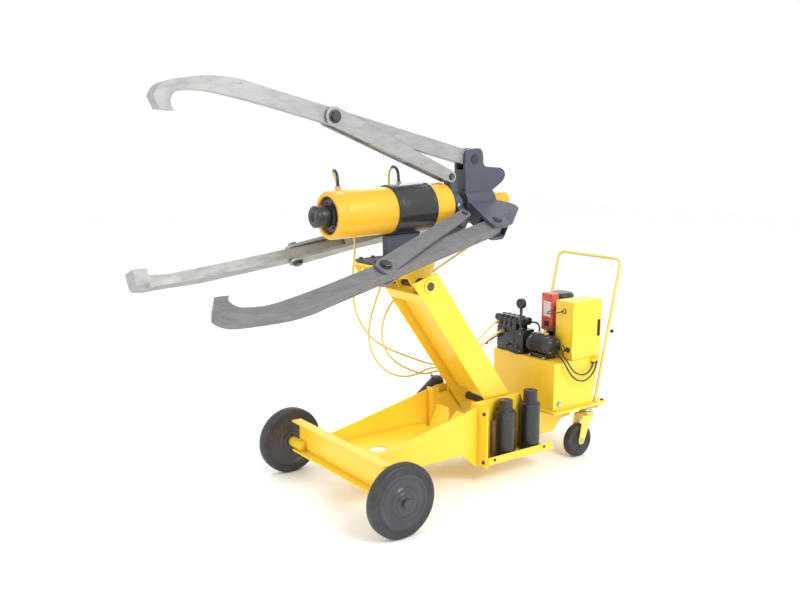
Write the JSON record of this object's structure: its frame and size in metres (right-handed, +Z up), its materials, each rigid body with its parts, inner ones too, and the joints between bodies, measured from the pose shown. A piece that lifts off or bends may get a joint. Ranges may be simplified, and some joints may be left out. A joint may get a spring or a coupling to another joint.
{
  "type": "cart-mounted hydraulic three-jaw puller",
  "caption": "Wheeled cart with a tilting boom that carries a hydraulic cylinder, hooked jaws with links, and an electric pump unit for pulling gears and bearings.",
  "frame": {"origin": "on the ground, at the middle of the bounding box", "axes": "+Z up; the jaws point to -Y and the push handle is at +Y; +X is the side with the extension rods; the puller axis lies in the X=0 plane, 1.9 degrees nose down"},
  "size_m": [0.968, 2.2289, 1.7336],
  "materials": {
    "yellow_paint": "satin paint",
    "castor_steel": "zinc plated",
    "bare_steel": "ground steel",
    "blue_grey_paint": "satin paint",
    "black_paint": "satin paint",
    "chrome_rod": "polished",
    "dark_fasteners": "oiled",
    "brown_bar": "oxidised",
    "tyre_rubber": "matte",
    "wheel_paint": "satin paint",
    "castor_rubber": "matte",
    "hose_yellow": "satin",
    "cable_black": "satin",
    "red_plastic": "gloss",
    "black_plastic": "matte"
  },
  "bodies": {
    "cart": {"front_beam": "yellow_paint", "axle_bolts": "dark_fasteners", "frame_side_right": "yellow_paint", "frame_side_left": "yellow_paint", "frame_floor": "yellow_paint", "deck": "yellow_paint", "rod_shelf": "yellow_paint", "push_handle": "yellow_paint", "tank": "yellow_paint", "motor": "black_paint", "starter_box": "red_plastic", "pump": "black_paint", "valve_block": "black_paint", "electrical_box": "yellow_paint", "castor_plates": "castor_steel", "hose_feed": "hose_yellow", "hose_return": "hose_yellow", "motor_cable": "cable_black"},
    "wheel_right": {"tyre_right": "tyre_rubber", "wheel_core_right": "wheel_paint"},
    "wheel_left": {"tyre_left": "tyre_rubber", "wheel_core_left": "wheel_paint"},
    "castor_right": {"castor_fork_right": "yellow_paint"},
    "castor_left": {"castor_fork_left": "yellow_paint"},
    "castor_roll_right": {"castor_wheel_right": "castor_rubber"},
    "castor_roll_left": {"castor_wheel_left": "castor_rubber"},
    "filler_cap": {"filler_cap": "black_plastic"},
    "valve_lever": {"valve_lever": "black_paint"},
    "electrical_door": {"electrical_door": "yellow_paint"},
    "rod_long": {"extension_rod_long": "black_paint"},
    "rod_short": {"extension_rod_short": "black_paint"},
    "bars": {"spare_bars": "brown_bar"},
    "boom": {"boom": "yellow_paint", "boom_pins": "dark_fasteners"},
    "lift_barrel": {"lift_barrel": "black_paint"},
    "lift_rod": {"lift_rod": "chrome_rod"},
    "head": {"head_saddle": "yellow_paint", "head_post": "blue_grey_paint", "clamp_band": "black_paint", "cylinder_tube": "yellow_paint", "gland": "black_paint", "jaw_head": "blue_grey_paint", "tail_pins": "dark_fasteners", "jaw_cylinder": "yellow_paint", "hose_front": "hose_yellow", "hose_rear": "hose_yellow", "hose_jaw": "hose_yellow"},
    "ram": {"ram": "chrome_rod", "ram_nose": "black_paint"},
    "carrier": {"link_carrier": "blue_grey_paint", "carrier_rod": "chrome_rod"},
    "jaw_top": {"jaw_top": "bare_steel"},
    "jaw_right": {"jaw_right": "bare_steel"},
    "jaw_left": {"jaw_left": "bare_steel"},
    "link_top": {"link_top": "bare_steel", "link_bolt_top": "dark_fasteners"},
    "link_right": {"link_right": "bare_steel", "link_bolt_right": "dark_fasteners"},
    "link_left": {"link_left": "bare_steel", "link_bolt_left": "dark_fasteners"}
  },
  "joints": [
    {"name": "wheel_right_roll", "type": "hinge", "parent": "cart", "child": "wheel_right", "pos_m": [0.437, -0.36595, 0.15], "axis": [1, 0, 0], "continuous": true},
    {"name": "wheel_left_roll", "type": "hinge", "parent": "cart", "child": "wheel_left", "pos_m": [-0.437, -0.36595, 0.15], "axis": [1, 0, 0], "continuous": true},
    {"name": "castor_right_swivel", "type": "hinge", "parent": "cart", "child": "castor_right", "pos_m": [0.19, 0.91405, 0.21], "axis": [0, 0, 1], "continuous": true},
    {"name": "castor_right_roll", "type": "hinge", "parent": "castor_right", "child": "castor_roll_right", "pos_m": [0.19, 0.85905, 0.08], "axis": [1, 0, 0], "continuous": true},
    {"name": "castor_left_swivel", "type": "hinge", "parent": "cart", "child": "castor_left", "pos_m": [-0.19, 0.91405, 0.21], "axis": [0, 0, 1], "continuous": true},
    {"name": "castor_left_roll", "type": "hinge", "parent": "castor_left", "child": "castor_roll_left", "pos_m": [-0.19, 0.85905, 0.08], "axis": [1, 0, 0], "continuous": true},
    {"name": "boom_lift", "type": "hinge", "parent": "cart", "child": "boom", "pos_m": [0, 0.43405, 0.3], "axis": [-1, 0, 0], "range_deg": [-15, 5]},
    {"name": "lift_barrel_swing", "type": "hinge", "parent": "cart", "child": "lift_barrel", "pos_m": [-0.225, 0.07105, 0.179], "axis": [-1, 0, 0], "range_deg": [-10, 10]},
    {"name": "lift_rod_stroke", "type": "slide", "parent": "lift_barrel", "child": "lift_rod", "axis": [0, 0.8075, 0.5899], "range_m": [-0.04, 0.02]},
    {"name": "head_tilt", "type": "hinge", "parent": "boom", "child": "head", "pos_m": [0, 0.00433, 0.90245], "axis": [-1, 0, 0], "range_deg": [-5, 20]},
    {"name": "ram_stroke", "type": "slide", "parent": "head", "child": "ram", "axis": [0, -0.9995, -0.0325], "range_m": [0, 0.25]},
    {"name": "jaw_top_open", "type": "hinge", "parent": "head", "child": "jaw_top", "pos_m": [0, 0.31752, 1.4233], "axis": [-1, 0, 0], "range_deg": [-7, 5]},
    {"name": "link_top_swing", "type": "hinge", "parent": "jaw_top", "child": "link_top", "pos_m": [0, -0.39349, 1.59715], "axis": [-1, 0, 0], "range_deg": [-2.2, 1.8]},
    {"name": "jaw_right_open", "type": "hinge", "parent": "head", "child": "jaw_right", "pos_m": [0.16454, 0.32677, 1.13845], "axis": [0.5, -0.0281, 0.8656], "range_deg": [-8, 6]},
    {"name": "link_right_swing", "type": "hinge", "parent": "jaw_right", "child": "link_right", "pos_m": [0.33501, -0.37466, 1.0172], "axis": [0.5, -0.0281, 0.8656], "range_deg": [-2.2, 1.8]},
    {"name": "jaw_left_open", "type": "hinge", "parent": "head", "child": "jaw_left", "pos_m": [-0.16454, 0.32677, 1.13845], "axis": [0.5, 0.0281, -0.8656], "range_deg": [-8, 6]},
    {"name": "link_left_swing", "type": "hinge", "parent": "jaw_left", "child": "link_left", "pos_m": [-0.33501, -0.37466, 1.0172], "axis": [0.5, 0.0281, -0.8656], "range_deg": [-2.2, 1.8]},
    {"name": "carrier_slide", "type": "slide", "parent": "head", "child": "carrier", "axis": [0, 0.9995, 0.0325], "range_m": [-0.014, 0.018]},
    {"name": "valve_lever_swing", "type": "hinge", "parent": "cart", "child": "valve_lever", "pos_m": [-0.18, 0.67155, 0.556], "axis": [0, 1, 0], "range_deg": [-12, 12], "stiffness_Nm_per_rad": 0.6},
    {"name": "filler_cap_turn", "type": "hinge", "parent": "cart", "child": "filler_cap", "pos_m": [-0.14, 0.88405, 0.49], "axis": [0, 0, 1], "range_deg": [0, 90]},
    {"name": "electrical_door_swing", "type": "hinge", "parent": "cart", "child": "electrical_door", "pos_m": [0.2095, 0.78405, 0.62], "axis": [0, 0, -1], "range_deg": [0, 110]},
    {"name": "rod_long_lift_off", "type": "slide", "parent": "cart", "child": "rod_long", "axis": [0, 0, 1], "range_m": [0, 0.3]},
    {"name": "rod_short_lift_off", "type": "slide", "parent": "cart", "child": "rod_short", "axis": [0, 0, 1], "range_m": [0, 0.3]},
    {"name": "bars_lift_off", "type": "slide", "parent": "cart", "child": "bars", "axis": [0, 0, 1], "range_m": [0, 0.2]}
  ],
  "couplings": [
    {"joint": "lift_barrel_swing", "follows": "boom_lift", "ratio": 0.066},
    {"joint": "lift_rod_stroke", "follows": "boom_lift", "m_per_rad": 0.118},
    {"joint": "jaw_right_open", "follows": "jaw_top_open", "ratio": 1},
    {"joint": "jaw_left_open", "follows": "jaw_top_open", "ratio": 1},
    {"joint": "carrier_slide", "follows": "jaw_top_open", "m_per_rad": -0.125},
    {"joint": "link_top_swing", "follows": "jaw_top_open", "ratio": 0.22},
    {"joint": "link_right_swing", "follows": "jaw_top_open", "ratio": 0.22},
    {"joint": "link_left_swing", "follows": "jaw_top_open", "ratio": 0.22}
  ]
}
